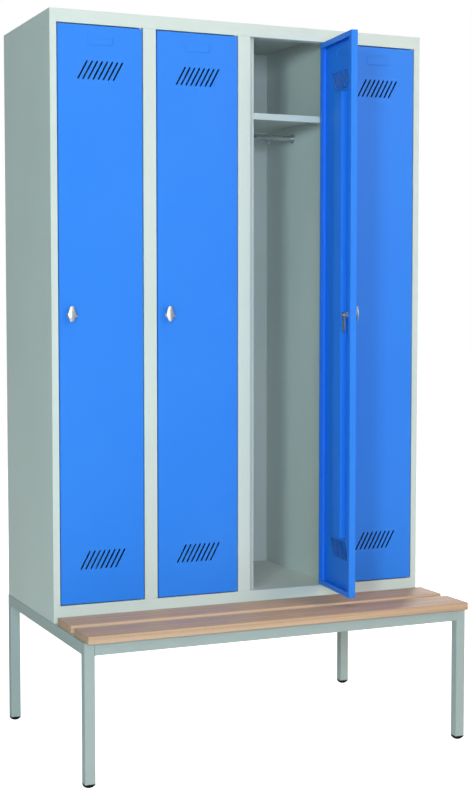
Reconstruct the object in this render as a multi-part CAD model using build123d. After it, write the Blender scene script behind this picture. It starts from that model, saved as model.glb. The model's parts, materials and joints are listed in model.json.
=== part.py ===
"""Four-door steel locker standing on a bench frame with two beech slats.

All lengths are millimetres. +X is to the right, +Y to the rear, +Z up. The origin lies on the floor,
in the middle of the footprint. Door three stands open, the other doors are shut.
"""
import os
from math import cos, hypot, radians

from build123d import *

os.makedirs("parts", exist_ok=True)

# Carcass
cabinet_width = 1200.0
cabinet_depth = 490.0
cabinet_height = 1750.0
compartments = 4
sheet = 1.0
bend_radius = 0.6
smallest_bend_share = 0.25
side_post = 20.0
middle_post = 40.0
top_rail = 38.0
bottom_rail = 48.0
rail_flange = 35.0
rear_flange = 15.0
rebate_depth = 22.0
lock_stop_lip = 20.0
hinge_stop_lip = 10.0
hem_gap = 0.4
joining_hole_radius = 3.0
joining_hole_from_front = 42.0
joining_hole_from_top = 50.0
joining_hole_from_bottom = 100.0

# Hat shelves, coat rails and sliding hooks
shelf_below_top = 258.0
shelf_edge = 19.0
shelf_lip = 12.0
shelf_setback = 28.0
rail_radius = 9.0
rail_wall = 1.2
rail_from_front = 289.0
rail_below_shelf = 40.0
socket_wall = 2.5
socket_length = 10.0
socket_flange_radius = 15.0
socket_flange_thickness = 2.0
hook_width = 6.0
hook_ring_wall = 3.0
hook_clearance = 0.3
hook_bar = 4.5
hook_shank = 13.0
hook_radius = 10.0
hook_tip = 9.0
hook_places = (148.0, 205.0)

# Doors
door_gap = 3.0
door_thickness = 20.0
door_sheet = 0.8
door_lip = 16.0
door_edge_radius = 1.5
door_rest_angles = (0.0, 0.0, 84.0, 0.0)
pivot_from_edge = 5.0
pivot_from_face = 5.0
pin_radius = 2.5
pin_clearance = 0.08
pin_reach = 8.0
pin_head_height = 2.0
pin_collar_radius = 4.0
pin_collar_play = 0.3
vent_slots = 8
vent_pitch = 15.2
vent_slot_length = 61.0
vent_slot_width = 5.0
vent_slant = 28.6
vent_from_end = 126.0
label_width = 77.0
label_height = 27.0
label_below_top = 28.0
label_raise = 1.4
label_taper = 62.0
stiffener_web = 60.0
stiffener_depth = 17.0
stiffener_flange = 10.0
stiffener_offset = 16.0
stiffener_end_gap = 14.0

# Rotary latches
lock_from_edge = 33.5
lock_above_middle = 7.0
plate_radius = 12.0
plate_thickness = 2.5
plate_edge_radius = 1.2
barrel_radius = 8.5
barrel_behind_lip = 3.5
nut_across_flats = 22.0
nut_thickness = 4.0
spindle_radius = 5.0
spindle_clearance = 0.1
knob_play = 0.3
hub_radius = 10.0
hub_height = 3.5
core_radius = 7.0
lug_width = 5.0
lug_height = 7.0
eye_radius = 2.7
eye_reach = 15.0
grip_top = 25.0
grip_bottom = 20.0
grip_width = 26.0
grip_top_width = 12.0
grip_bottom_width = 9.0
grip_ridge_width = 3.0
grip_ridge_height = 4.0
grip_edge_height = 1.8
grip_corner_radius = 3.0
ear_thickness = 3.0
ear_reach = 19.8
ear_root_reach = 12.0
ear_nose_low = 7.5
ear_nose_high = 10.5
ear_nose_inset = 1.8
ear_root_width = 9.0
cam_thickness = 2.5
cam_width = 18.0
cam_reach = 52.0
cam_play = 0.5
square_side = 7.0
cam_nut_across_flats = 11.0
cam_nut_thickness = 4.0

# Bench frame
frame_height = 400.0
frame_overhang = 2.0
leg_side = 30.0
tube_wall = 2.0
tube_corner_radius = 3.0
beam_height = 35.0
beam_width = 30.0
bench_reach = 290.0
cap_height = 11.0
cap_dome_radius = 24.0
cap_flat_depth = 1.5
plug_length = 18.0
plug_chamfer = 0.8

# Bench slats and fasteners
slat_width = 124.0
slat_thickness = 23.0
slat_gap = 32.0
slat_edge_radius = 4.0
slat_end_margin = 2.0
screw_radius = 2.5
screw_bite = 16.0
screw_head_radius = 5.0
screw_head_height = 3.0
screw_from_rear = 20.0
screw_spread = 44.0
bolt_radius = 4.0
bolt_head_across_flats = 13.0
bolt_head_height = 5.0
bolt_nut_height = 6.5
bolt_end = 2.0
bolt_from_side = 150.0

# One overrun serves all cuts
overrun = 5.0

# Places worked out from the sizes above
slat_front = 2 * slat_width + 2 * slat_gap
overall_depth = cabinet_depth + slat_front
left_x = -cabinet_width / 2
right_x = cabinet_width / 2
front_y = slat_front - overall_depth / 2
back_y = front_y + cabinet_depth
floor_z = frame_height
ceiling_z = floor_z + cabinet_height
pitch = cabinet_width / compartments
opening_bottom = floor_z + bottom_rail
opening_top = ceiling_z - top_rail
frame_left = left_x - frame_overhang
frame_right = right_x + frame_overhang
frame_front = front_y - bench_reach


def wall_x(index):
    """Middle plane of an inner wall, or the outer face of an outer wall."""
    return left_x + index * pitch


def opening_left(index):
    """Left edge of a door opening."""
    return wall_x(index) + (side_post if index == 0 else middle_post / 2)


def opening_right(index):
    """Right edge of a door opening."""
    last = index == compartments - 1
    return wall_x(index + 1) - (side_post if last else middle_post / 2)


def inner_left(index):
    """Inner face of the wall on the left of a compartment."""
    return wall_x(index) + (sheet if index == 0 else sheet / 2)


def inner_right(index):
    """Inner face of the wall on the right of a compartment."""
    last = index == compartments - 1
    return wall_x(index + 1) - (sheet if last else sheet / 2)


def door_left(index):
    """Free edge of a shut door."""
    return opening_left(index) + door_gap


def door_right(index):
    """Hinge edge of a shut door."""
    return opening_right(index) - door_gap


door_bottom = opening_bottom + door_gap
door_top = opening_top - door_gap
lock_z = (door_bottom + door_top) / 2 + lock_above_middle
pivot_y = front_y + pivot_from_face
rail_y = front_y + rail_from_front
eye_y = front_y - plate_thickness - knob_play - hub_height - lug_height / 2
shelf_z = ceiling_z - shelf_below_top
rail_z = shelf_z - rail_below_shelf


def pivot_x(index):
    """Hinge axis of a door."""
    return door_right(index) - pivot_from_edge


def lock_x(index):
    """Latch axis of a shut door."""
    return door_left(index) + lock_from_edge


def block(x0, x1, y0, y1, z0, z1):
    """Box between two corners."""
    return Pos((x0 + x1) / 2, (y0 + y1) / 2, (z0 + z1) / 2) * Box(x1 - x0, y1 - y0, z1 - z0)


def folded_face(points, thickness, radius):
    """Section of a bent sheet whose middle line runs through the points, with rounded bends."""
    def direction(a, b):
        length = hypot(b[0] - a[0], b[1] - a[1])
        return ((b[0] - a[0]) / length, (b[1] - a[1]) / length, length)

    runs = [direction(a, b) for a, b in zip(points, points[1:])]
    left, right, bends = [], [], []
    for i, (x, y) in enumerate(points):
        before = runs[max(i - 1, 0)]
        after = runs[min(i, len(runs) - 1)]
        spread = 1 + before[0] * after[0] + before[1] * after[1]
        nx = -(before[1] + after[1]) / spread * thickness / 2
        ny = (before[0] + after[0]) / spread * thickness / 2
        left.append((x + nx, y + ny))
        right.append((x - nx, y - ny))
        if 0 < i < len(points) - 1:
            turns_left = before[0] * after[1] - before[1] * after[0] > 0
            room = min(before[2], after[2]) / 2
            inner, outer = (left[-1], right[-1]) if turns_left else (right[-1], left[-1])
            bends.append((outer, min(radius + thickness, room)))
            bends.append((inner, min(radius, (room - thickness / 2) / 2)))
    face = make_face(Polyline(*left, *reversed(right), close=True)).face()
    for spot, bend in bends:
        if bend > radius * smallest_bend_share:
            corner = min(face.vertices(), key=lambda v: hypot(v.X - spot[0], v.Y - spot[1]))
            face = face.fillet_2d(bend, [corner])
    return face


def upright_sheet(points, z0, z1, thickness=sheet):
    """Bent sheet with its section seen from above, standing between two heights."""
    return Pos(0, 0, z0) * extrude(folded_face(points, thickness, bend_radius), z1 - z0, dir=(0, 0, 1))


def cross_sheet(points, x0, x1):
    """Bent sheet with its section (Y, Z) seen from the side, running between two X places."""
    section = Plane((x0, 0, 0), x_dir=(0, 1, 0), z_dir=(1, 0, 0)) * folded_face(points, sheet, bend_radius)
    return extrude(section, x1 - x0, dir=(1, 0, 0))


def rod(radius, height, spot, direction=(0, 0, 1)):
    """Round bar that starts at a spot and runs along a direction."""
    return extrude(Plane(spot, z_dir=direction) * Circle(radius), height, dir=direction)


def hexagon(across_flats, height, spot, direction=(0, 0, 1)):
    """Hexagonal bar, measured across its flats."""
    outline = RegularPolygon(across_flats / 2, 6, major_radius=False)
    return extrude(Plane(spot, z_dir=direction) * outline, height, dir=direction)


def side_panel(mirrored, stop_lip):
    """Outer side wall, folded into the front post, its stop lip and the rear flange."""
    half = sheet / 2
    post = [(side_post + stop_lip, rebate_depth + half), (side_post - half, rebate_depth + half),
            (side_post - half, half), (half, half), (half, cabinet_depth - half),
            (rear_flange, cabinet_depth - half)]
    plain = [(side_post, half)] + post[3:]
    panel = upright_sheet(post, bottom_rail, cabinet_height - top_rail)
    panel += upright_sheet(plain, 0, cabinet_height)
    for height in (joining_hole_from_bottom, cabinet_height - joining_hole_from_top):
        panel -= rod(joining_hole_radius, sheet + 2 * overrun,
                     (-overrun, joining_hole_from_front, height), (1, 0, 0))
    if mirrored:
        return Pos(right_x, front_y, floor_z) * mirror(panel, Plane.YZ)
    return Pos(left_x, front_y, floor_z) * panel


def partition(index):
    """Inner wall and middle post bent from one sheet: lip, hollow post, hem, wall and rear flange."""
    half = sheet / 2
    post = middle_post / 2 - half
    lip = rebate_depth + half
    hem = lip + sheet + hem_gap
    rear = cabinet_depth - 2 * sheet - half
    points = [(middle_post / 2 + lock_stop_lip, lip), (post, lip), (post, half), (-post, half), (-post, lip),
              (-middle_post / 2 - hinge_stop_lip, lip), (-middle_post / 2 - hinge_stop_lip, hem), (0, hem),
              (0, rear), (rear_flange, rear)]
    wall = upright_sheet(points, bottom_rail, cabinet_height - sheet)
    wall -= block(-pitch / 2, pitch / 2, -overrun, rail_flange, cabinet_height - top_rail, cabinet_height)
    return Pos(wall_x(index), front_y, floor_z) * wall


def rail_sheet(points):
    """Top or floor sheet between the side walls, notched where their front posts stand."""
    panel = cross_sheet(points, left_x + sheet, right_x - sheet)
    low, high = min(p[1] for p in points) - overrun, max(p[1] for p in points) + overrun
    relief = sheet + bend_radius
    for side, way in ((left_x, 1), (right_x, -1)):
        for reach, depth in ((side_post, sheet), (relief, relief)):
            panel -= block(*sorted((side, side + way * reach)), -overrun, depth, low, high)
        for reach, depth in ((rear_flange, sheet), (relief, relief)):
            panel -= block(*sorted((side, side + way * reach)), cabinet_depth - depth,
                           cabinet_depth + overrun, low, high)
    return Pos(0, front_y, 0) * panel


def pin_spots(index):
    """Places of the two hinge pins of a door: point on the flange face, and the pin's direction."""
    return (((pivot_x(index), pivot_y, opening_bottom), 1), ((pivot_x(index), pivot_y, opening_top), -1))


def top_panel():
    """Top sheet with the front rail, its pin flange and the rear flange."""
    half = sheet / 2
    rear = cabinet_depth - half
    panel = rail_sheet([(rail_flange, opening_top + half), (half, opening_top + half),
                        (half, ceiling_z - half), (rear, ceiling_z - half), (rear, ceiling_z - rear_flange)])
    for index in range(compartments):
        panel -= rod(pin_radius, sheet + 2 * overrun, (pivot_x(index), pivot_y, opening_top - overrun))
    return panel


def bolt_spots():
    """Places of the bolts between cabinet and frame."""
    rows = (front_y + beam_width / 2, back_y - beam_width / 2)
    return [(x, y) for x in (left_x + bolt_from_side, right_x - bolt_from_side) for y in rows]


def floor_panel():
    """Floor sheet with the front rail, the rear flange and the two feet that stand on the frame."""
    half = sheet / 2
    rear = cabinet_depth - half
    panel = rail_sheet([(rail_flange, floor_z + half), (half, floor_z + half), (half, opening_bottom - half),
                        (rear, opening_bottom - half), (rear, floor_z + half),
                        (cabinet_depth - rail_flange, floor_z + half)])
    for index in range(compartments):
        panel -= rod(pin_radius, sheet + 2 * overrun,
                     (pivot_x(index), pivot_y, opening_bottom - sheet - overrun))
    for x, y in bolt_spots():
        panel -= rod(bolt_radius, sheet + 2 * overrun, (x, y, floor_z - overrun))
    return panel


def back_panel():
    """Flat back sheet that lies against the rear flanges."""
    edge = sheet + bend_radius
    return block(left_x + edge, right_x - edge, back_y - 2 * sheet, back_y - sheet,
                 opening_bottom, ceiling_z - edge)


def hat_shelf(index):
    """Shelf tray with four folded edges and a return lip along the front."""
    x0, x1 = inner_left(index), inner_right(index)
    y0, y1 = front_y + shelf_setback, back_y - 3 * sheet - bend_radius
    top = shelf_z
    tray = block(x0, x1, y0, y1, top - shelf_edge, top)
    tray = fillet(tray.edges().filter_by(Axis.X).group_by(Axis.Z)[-1].sort_by(Axis.Y)[0], bend_radius + sheet)
    tray -= block(x0 + sheet, x1 - sheet, y0 + sheet, y1 - sheet, top - shelf_edge + sheet, top - sheet)
    tray -= block(x0 + sheet, x1 - sheet, y0 + shelf_lip, y1 - sheet, top - shelf_edge - overrun, top - sheet)
    return tray


def coat_rail(index):
    """Round rail tube with a flanged socket on each wall."""
    x0, x1 = inner_left(index), inner_right(index)
    seat = socket_flange_thickness
    start = (x0 + seat, rail_y, rail_z)
    tube = rod(rail_radius, x1 - x0 - 2 * seat, start, (1, 0, 0))
    tube -= rod(rail_radius - rail_wall, x1 - x0 - 2 * seat, start, (1, 0, 0))
    pieces = [tube]
    for x, way in ((x0, 1), (x1, -1)):
        socket = rod(socket_flange_radius, seat, (x, rail_y, rail_z), (way, 0, 0))
        socket += rod(rail_radius + socket_wall, socket_length, (x, rail_y, rail_z), (way, 0, 0))
        socket -= rod(rail_radius, socket_length, (x + way * seat, rail_y, rail_z), (way, 0, 0))
        pieces.append(socket)
    return Compound(children=pieces)


def coat_hook(index, place):
    """Flat hook with a ring that slides along the rail."""
    bore = rail_radius + hook_clearance
    ring = bore + hook_ring_wall
    neck = -(ring - hook_ring_wall / 2)
    bottom = neck - hook_shank
    line = Line((0, neck), (0, bottom)) + ThreePointArc(
        (0, bottom), (-hook_radius, bottom - hook_radius), (-2 * hook_radius, bottom))
    tip = (-2 * hook_radius, bottom + hook_tip)
    line += Line((-2 * hook_radius, bottom), tip)
    outline = trace(line, line_width=hook_bar) + Pos(*tip) * Circle(hook_bar / 2)
    outline += Circle(ring)
    outline -= Circle(bore)
    x = wall_x(index) + place - hook_width / 2
    frame = Plane((x, rail_y, rail_z), x_dir=(0, 1, 0), z_dir=(1, 0, 0))
    return extrude(frame * outline, hook_width, dir=(1, 0, 0))


def vent_cutter(x, z):
    """Row of slanted slots through the door sheet, centred on a place."""
    row = Sketch()
    for step in range(vent_slots):
        shift = (step - (vent_slots - 1) / 2) * vent_pitch
        row += Pos(shift, 0) * Rot(0, 0, 90 - vent_slant) * SlotOverall(vent_slot_length, vent_slot_width)
    frame = Plane((x, front_y - overrun, z), x_dir=(1, 0, 0), z_dir=(0, -1, 0))
    return extrude(frame * row, door_sheet + 2 * overrun, dir=(0, 1, 0))


def label_form(x, z, width, height, y):
    """Low bump with sloping sides for the label field, or the hollow behind it."""
    frame = Plane((x, y, z), x_dir=(1, 0, 0), z_dir=(0, -1, 0))
    return extrude(frame * Rectangle(width, height), label_raise, taper=label_taper)


def turned(shape, index):
    """Shape on a door, swung with the door to its place at rest."""
    hinge = Axis((pivot_x(index), pivot_y, 0), (0, 0, 1))
    return shape.rotate(hinge, door_rest_angles[index])


def door_panel(index):
    """Door tray with folded edges and return lips, two rows of vent slots and a raised label field."""
    x0, x1 = door_left(index), door_right(index)
    middle = (x0 + x1) / 2
    rear = front_y + door_thickness
    door = block(x0, x1, front_y, rear, door_bottom, door_top)
    rounded = door.edges().filter_by(Axis.Z) + door.faces().sort_by(Axis.Y)[0].edges().filter_by(Axis.X)
    door = fillet(rounded, door_edge_radius)
    inset = door_sheet
    door -= block(x0 + inset, x1 - inset, front_y + inset, rear - inset,
                  door_bottom + inset, door_top - inset)
    door -= block(x0 + door_lip, x1 - door_lip, front_y + inset, rear + overrun,
                  door_bottom + door_lip, door_top - door_lip)
    label_z = door_top - label_below_top - label_height / 2
    door += label_form(middle, label_z, label_width, label_height, front_y)
    door -= label_form(middle, label_z, label_width - 2 * inset, label_height - 2 * inset, front_y + inset)
    for height in (door_bottom + vent_from_end, door_top - vent_from_end):
        door -= vent_cutter(middle, height)
    door -= rod(barrel_radius, inset + 2 * overrun, (lock_x(index), front_y - overrun, lock_z), (0, 1, 0))
    for height in (door_bottom, door_top):
        door -= rod(pin_radius + pin_clearance, 2 * (inset + overrun),
                    (pivot_x(index), pivot_y, height - inset - overrun))
    return turned(door, index)


def door_stiffener(index):
    """Hat profile inside a door, between the two rows of slots."""
    centre = (door_left(index) + door_right(index)) / 2 - stiffener_offset
    half = door_sheet / 2
    skin = front_y + door_sheet + half
    crown = front_y + door_sheet + stiffener_depth - half
    wall = stiffener_web / 2 - half
    foot = stiffener_web / 2 + stiffener_flange
    points = [(centre - foot, skin), (centre - wall, skin), (centre - wall, crown), (centre + wall, crown),
              (centre + wall, skin), (centre + foot, skin)]
    rise = vent_slot_length / 2 * cos(radians(vent_slant)) + vent_from_end + stiffener_end_gap
    return turned(upright_sheet(points, door_bottom + rise, door_top - rise, door_sheet), index)


def lock_housing(index):
    """Round plate with a padlock ear, the barrel behind it and its fixing nut."""
    x, z = lock_x(index), lock_z
    face = front_y - plate_thickness
    plate = rod(plate_radius, plate_thickness, (x, face, z), (0, 1, 0))
    plate = fillet(plate.edges().sort_by(Axis.Y)[0], plate_edge_radius)
    reach = rebate_depth + barrel_behind_lip
    plate += rod(barrel_radius, reach, (x, front_y, z), (0, 1, 0))
    top = z - lug_width / 2 - knob_play
    inner, nose = x + hub_radius + knob_play, x + ear_reach
    rise = face - hub_height - lug_height
    outline = Polyline((inner, front_y), (x + ear_root_reach, front_y), (x + ear_root_reach, face),
                       (nose, front_y - ear_nose_low), (nose, front_y - ear_nose_high),
                       (nose - ear_nose_inset, rise), (inner, rise), close=True)
    ear = extrude(Pos(0, 0, top - ear_thickness) * make_face(outline), ear_thickness, dir=(0, 0, 1))
    ear -= rod(eye_radius, ear_thickness + 2 * overrun,
               (x + eye_reach, eye_y, top - ear_thickness - overrun))
    plate += ear
    plate += block(x + plate_radius - ear_root_width, x + ear_root_reach, face, front_y,
                   top - ear_root_width, top)
    plate -= rod(spindle_radius + spindle_clearance, plate_thickness + reach + 2 * overrun,
                 (x, face - overrun, z), (0, 1, 0))
    nut = hexagon(nut_across_flats, nut_thickness, (x, front_y + door_sheet, z), (0, 1, 0))
    nut -= rod(barrel_radius, nut_thickness, (x, front_y + door_sheet, z), (0, 1, 0))
    return turned(Compound(children=[plate, nut]), index)


def finger_cap(x, z, back):
    """Diamond-shaped front of the grip with a ridge that falls off to both sides."""
    half = grip_width / 2
    corners = ((-grip_top_width / 2, grip_top), (grip_top_width / 2, grip_top), (half, 0),
               (grip_bottom_width / 2, -grip_bottom), (-grip_bottom_width / 2, -grip_bottom), (-half, 0))
    face = make_face(Polyline(*corners, close=True)).face()
    face = face.fillet_2d(grip_corner_radius, face.vertices())
    frame = Plane((x, back, z), x_dir=(1, 0, 0), z_dir=(0, -1, 0))
    cap = extrude(frame * face, grip_ridge_height, dir=(0, -1, 0))
    edge, ridge = back - grip_edge_height, back - grip_ridge_height
    roof = Polyline((x - half, back), (x + half, back), (x + half, edge), (x + grip_ridge_width / 2, ridge),
                    (x - grip_ridge_width / 2, ridge), (x - half, edge), close=True)
    length = grip_top + grip_bottom
    return cap & extrude(Pos(0, 0, z - grip_bottom) * make_face(roof), length, dir=(0, 0, 1))


def latch_knob(index):
    """Turning grip with a padlock eye in its lug, and the spindle with a square end."""
    x, z = lock_x(index), lock_z
    base = front_y - plate_thickness - knob_play
    lug_base = base - hub_height
    cap_back = lug_base - lug_height
    knob = rod(hub_radius, hub_height, (x, lug_base, z), (0, 1, 0))
    knob += rod(core_radius, lug_height, (x, cap_back, z), (0, 1, 0))
    lug_top = z + eye_reach + eye_radius + lug_width / 2
    lug = block(x - lug_width / 2, x + lug_width / 2, cap_back, lug_base, z, lug_top)
    lug -= rod(eye_radius, grip_width, (x - grip_width / 2, eye_y, z + eye_reach), (1, 0, 0))
    knob += lug
    knob += finger_cap(x, z, cap_back)
    barrel_end = front_y + rebate_depth + barrel_behind_lip
    knob += rod(spindle_radius, barrel_end + cam_play - base, (x, base, z), (0, 1, 0))
    tail = cam_thickness + cam_nut_thickness
    frame = Plane((x, barrel_end + cam_play, z), x_dir=(1, 0, 0), z_dir=(0, 1, 0))
    knob += extrude(frame * Rectangle(square_side, square_side), tail, dir=(0, 1, 0))
    return turned(knob, index)


def latch_cam(index):
    """Flat tongue that turns behind the stop lip, and the nut that holds it on the square."""
    x, z = lock_x(index), lock_z
    y = front_y + rebate_depth + barrel_behind_lip + cam_play
    end = cam_width / 2
    tongue = rod(end, cam_thickness, (x, y, z), (0, 1, 0))
    tongue += rod(end, cam_thickness, (x, y, z - cam_reach + end), (0, 1, 0))
    tongue += block(x - end, x + end, y, y + cam_thickness, z - cam_reach + end, z)
    nut = hexagon(cam_nut_across_flats, cam_nut_thickness, (x, y + cam_thickness, z), (0, 1, 0))
    half = square_side / 2
    tail = cam_thickness + cam_nut_thickness
    hole = block(x - half, x + half, y - overrun, y + tail + overrun, z - half, z + half)
    return turned(Compound(children=[tongue - hole, nut - hole]), index)


def hinge_pins():
    """Headed pins with a collar, pressed into the rails above and below each door."""
    pins = []
    collar = door_gap - pin_collar_play
    head_radius = pivot_from_face - sheet - bend_radius
    length = sheet + door_gap + door_sheet + pin_reach
    for index in range(compartments):
        for spot, way in pin_spots(index):
            x, y, z = spot
            back = (x, y, z - way * sheet)
            pin = rod(pin_radius, length, back, (0, 0, way))
            pin += rod(pin_collar_radius, collar, spot, (0, 0, way))
            pin += rod(head_radius, pin_head_height, back, (0, 0, -way))
            pins.append(pin)
    return Compound(children=pins)


def tube_bar(width, height, start, end, along):
    """Square or oblong hollow tube between two places on one axis, with rounded corners."""
    low = Vector(*start)
    length = (Vector(*end) - low).length
    side = (1, 0, 0) if along[0] == 0 else (0, 1, 0)
    frame = Plane(low, x_dir=side, z_dir=along)
    outer = RectangleRounded(width, height, tube_corner_radius)
    inner = RectangleRounded(width - 2 * tube_wall, height - 2 * tube_wall, tube_corner_radius - tube_wall)
    return extrude(frame * (outer - inner), length, dir=along)


def leg(x, y):
    """Leg tube, from its foot cap up to the top of the frame."""
    return tube_bar(leg_side, leg_side, (x, y, cap_height), (x, y, frame_height), (0, 0, 1))


leg_places = {
    "front_left_leg": (frame_left + leg_side / 2, frame_front + leg_side / 2),
    "front_right_leg": (frame_right - leg_side / 2, frame_front + leg_side / 2),
    "rear_left_leg": (frame_left + leg_side / 2, back_y - leg_side / 2),
    "rear_right_leg": (frame_right - leg_side / 2, back_y - leg_side / 2),
}


def leg_caps():
    """Domed foot caps with a small flat to stand on and a plug that fills the end of each leg."""
    caps = []
    dome_z = cap_dome_radius - cap_flat_depth
    plug_side = leg_side - 2 * tube_wall
    plug_corner = tube_corner_radius - tube_wall
    for x, y in leg_places.values():
        foot = extrude(Pos(x, y, 0) * RectangleRounded(leg_side, leg_side, tube_corner_radius), cap_height)
        foot &= Pos(x, y, dome_z) * Sphere(cap_dome_radius)
        plug = Pos(x, y, cap_height) * RectangleRounded(plug_side, plug_side, plug_corner)
        plug = extrude(plug, plug_length)
        plug = chamfer(plug.edges().group_by(Axis.Z)[-1], plug_chamfer)
        caps.append(foot + plug)
    return Compound(children=caps)


beam_z = frame_height - beam_height / 2
left_beam_x = frame_left + beam_width / 2
right_beam_x = frame_right - beam_width / 2


def long_beam(y):
    """Beam from left to right between the legs or the side beams."""
    ends = (frame_left + leg_side, y, beam_z), (frame_right - leg_side, y, beam_z)
    return tube_bar(beam_width, beam_height, *ends, (1, 0, 0))


def drilled(beam, x):
    """Beam from front to rear with the holes for the slat screws that pass through it."""
    for _, y in screw_spots(x):
        beam -= rod(screw_radius, beam_height + 2 * overrun, (x, y, frame_height - beam_height - overrun))
    return beam


def side_beam(x):
    """Beam from the front leg to the rear leg."""
    ends = (x, frame_front + leg_side, beam_z), (x, back_y - leg_side, beam_z)
    return drilled(tube_bar(beam_width, beam_height, *ends, (0, 1, 0)), x)


def middle_beam():
    """Beam under the middle of the slats, from the front beam to the beam under the cabinet."""
    ends = (0, frame_front + beam_width, beam_z), (0, front_y, beam_z)
    return drilled(tube_bar(beam_width, beam_height, *ends, (0, 1, 0)), 0)


def carrying_beam(y):
    """Long beam under the cabinet with the holes for its bolts."""
    beam = long_beam(y)
    for bolt_x, bolt_y in bolt_spots():
        if bolt_y == y:
            beam -= rod(bolt_radius, beam_height + 2 * overrun,
                        (bolt_x, y, frame_height - beam_height - overrun))
    return beam


slat_rear_edges = {"rear_slat": front_y - slat_gap, "front_slat": front_y - 2 * slat_gap - slat_width}


def screw_spots(x):
    """Places of the slat screws over one beam."""
    return [(x, edge - screw_from_rear - step * screw_spread)
            for edge in slat_rear_edges.values() for step in (0, 1)]


def slat(rear_edge):
    """Wooden bench slat with rounded long edges and blind screw holes from below."""
    x0, x1 = left_x + slat_end_margin, right_x - slat_end_margin
    board = block(x0, x1, rear_edge - slat_width, rear_edge, frame_height, frame_height + slat_thickness)
    board = fillet(board.edges().filter_by(Axis.X), slat_edge_radius)
    for x in (left_beam_x, 0, right_beam_x):
        for spot_x, y in screw_spots(x):
            if rear_edge - slat_width < y < rear_edge:
                board -= rod(screw_radius, screw_bite + overrun, (spot_x, y, frame_height - overrun))
    return board


def slat_screws():
    """Round-headed screws from below, through the beams and into the slats."""
    screws = []
    bottom = frame_height - beam_height
    for beam_x in (left_beam_x, 0, right_beam_x):
        for x, y in screw_spots(beam_x):
            screw = rod(screw_radius, beam_height + screw_bite, (x, y, bottom))
            head = rod(screw_head_radius, screw_head_height, (x, y, bottom - screw_head_height))
            head = fillet(head.edges().group_by(Axis.Z)[0], screw_head_height / 2)
            screws.append(screw + head)
    return Compound(children=screws)


def frame_bolts():
    """Bolts with nuts that hold the cabinet floor on the frame."""
    bolts = []
    bottom = frame_height - beam_height
    for x, y in bolt_spots():
        shank = beam_height + sheet + bolt_nut_height + bolt_end
        bolt = rod(bolt_radius, shank, (x, y, bottom))
        bolt += hexagon(bolt_head_across_flats, bolt_head_height, (x, y, bottom - bolt_head_height))
        nut = hexagon(bolt_head_across_flats, bolt_nut_height, (x, y, floor_z + sheet))
        bolts += [bolt, nut - rod(bolt_radius, bolt_nut_height, (x, y, floor_z + sheet))]
    return Compound(children=bolts)


def build():
    """Every piece of the locker by the name of its node."""
    nodes = {
        "left_side_panel": side_panel(False, lock_stop_lip),
        "right_side_panel": side_panel(True, hinge_stop_lip),
        "top_panel": top_panel(),
        "floor_panel": floor_panel(),
        "back_panel": back_panel(),
        "front_beam": long_beam(frame_front + beam_width / 2),
        "cabinet_beam": carrying_beam(front_y + beam_width / 2),
        "rear_beam": carrying_beam(back_y - beam_width / 2),
        "left_beam": side_beam(left_beam_x),
        "right_beam": side_beam(right_beam_x),
        "middle_beam": middle_beam(),
        "leg_caps": leg_caps(),
        "slat_screws": slat_screws(),
        "frame_bolts": frame_bolts(),
        "hinge_pins": hinge_pins(),
    }
    for name, place in leg_places.items():
        nodes[name] = leg(*place)
    for name, edge in slat_rear_edges.items():
        nodes[name] = slat(edge)
    for index in range(1, compartments):
        nodes[f"partition_{index}"] = partition(index)
    for index in range(compartments):
        number = index + 1
        nodes[f"hat_shelf_{number}"] = hat_shelf(index)
        nodes[f"coat_rail_{number}"] = coat_rail(index)
        nodes[f"door_panel_{number}"] = door_panel(index)
        nodes[f"door_stiffener_{number}"] = door_stiffener(index)
        nodes[f"lock_housing_{number}"] = lock_housing(index)
        nodes[f"latch_knob_{number}"] = latch_knob(index)
        nodes[f"latch_cam_{number}"] = latch_cam(index)
        for side, place in zip(("left", "right"), hook_places):
            nodes[f"coat_hook_{number}_{side}"] = coat_hook(index, place)
    return nodes


for node, shape in build().items():
    export_step(shape, f"parts/{node}.step")
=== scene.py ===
"""Looks of the four-door steel locker on its bench frame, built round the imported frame.

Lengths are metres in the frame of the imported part: +X to the right, +Y to the rear, +Z up, the floor at zero.
"""

import json
import logging
from collections.abc import Callable, Iterable
from dataclasses import dataclass
from enum import Enum
from math import cos, pi, radians

import bmesh
import bpy
from mathutils import Matrix, Vector


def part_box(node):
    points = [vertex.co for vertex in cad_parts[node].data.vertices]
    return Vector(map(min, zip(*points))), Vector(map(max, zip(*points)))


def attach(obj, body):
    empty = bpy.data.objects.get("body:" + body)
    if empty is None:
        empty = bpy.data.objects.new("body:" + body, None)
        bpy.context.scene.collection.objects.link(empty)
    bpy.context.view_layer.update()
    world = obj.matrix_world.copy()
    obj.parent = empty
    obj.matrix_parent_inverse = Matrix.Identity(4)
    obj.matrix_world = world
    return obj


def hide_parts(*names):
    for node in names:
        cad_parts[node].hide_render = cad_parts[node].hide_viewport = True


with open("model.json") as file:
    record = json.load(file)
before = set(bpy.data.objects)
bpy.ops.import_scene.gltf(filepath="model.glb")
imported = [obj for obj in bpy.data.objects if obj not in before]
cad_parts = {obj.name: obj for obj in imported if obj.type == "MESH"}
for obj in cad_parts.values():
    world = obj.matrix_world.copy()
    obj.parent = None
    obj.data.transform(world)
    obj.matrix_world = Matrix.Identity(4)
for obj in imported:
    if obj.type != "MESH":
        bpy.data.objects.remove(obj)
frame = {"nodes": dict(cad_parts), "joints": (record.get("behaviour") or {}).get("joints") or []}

logging.basicConfig(level=logging.INFO, format="%(levelname)s %(name)s: %(message)s")
log = logging.getLogger("locker")

Triple = tuple[float, float, float]
Pair = tuple[float, float]
Socket = bpy.types.NodeSocket
DOORS = (1, 2, 3, 4)
SHARP_ANGLE = radians(32)
# Within this distance two places are the same.
NEAR = 1e-5
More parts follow.
